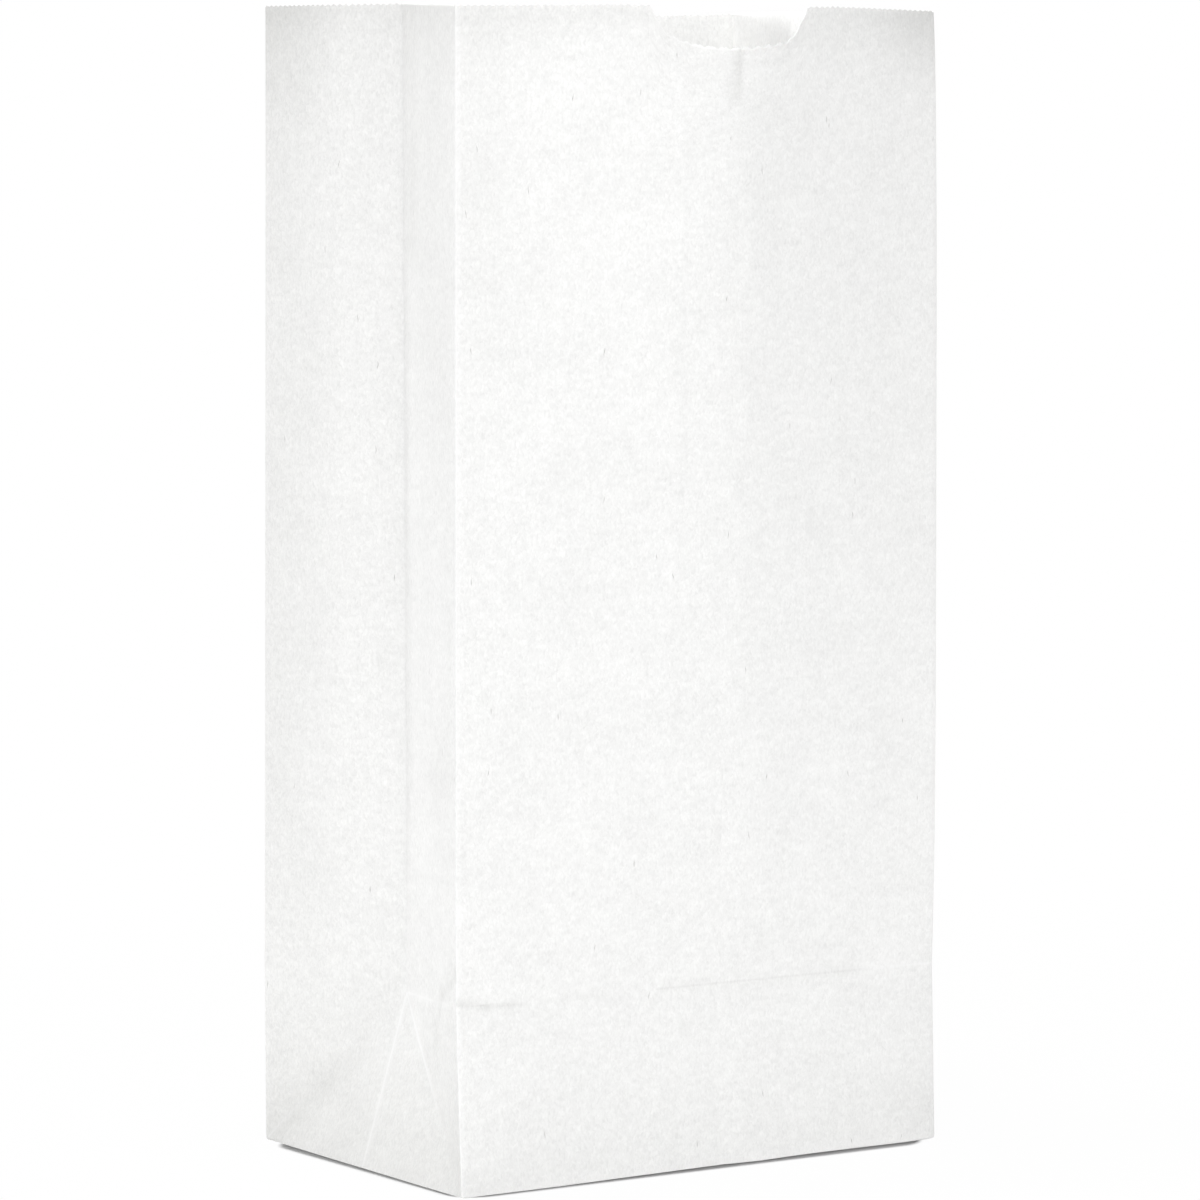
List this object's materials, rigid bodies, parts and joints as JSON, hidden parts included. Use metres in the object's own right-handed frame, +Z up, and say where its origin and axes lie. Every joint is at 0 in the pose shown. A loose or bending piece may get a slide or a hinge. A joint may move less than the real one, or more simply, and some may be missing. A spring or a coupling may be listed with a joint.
{
  "type": "paper lunch bag",
  "caption": "White paper bag standing open, with pleated sides, a square folded and pasted bottom, a toothed mouth and a thumb notch in the front; holds a packed lunch.",
  "frame": {"origin": "under the middle of the base, on the surface the bag stands on", "axes": "+Z up to the open mouth, +X along the wide panels to the right seen from the front, -Y out of the notched front panel"},
  "size_m": [0.133, 0.1021, 0.268],
  "materials": {
    "kraft_paper": "matt bleached kraft paper, machine finished, with a cloudy fibre texture"
  },
  "bodies": {
    "root": {"paper_bag": "kraft_paper"}
  },
  "joints": []
}
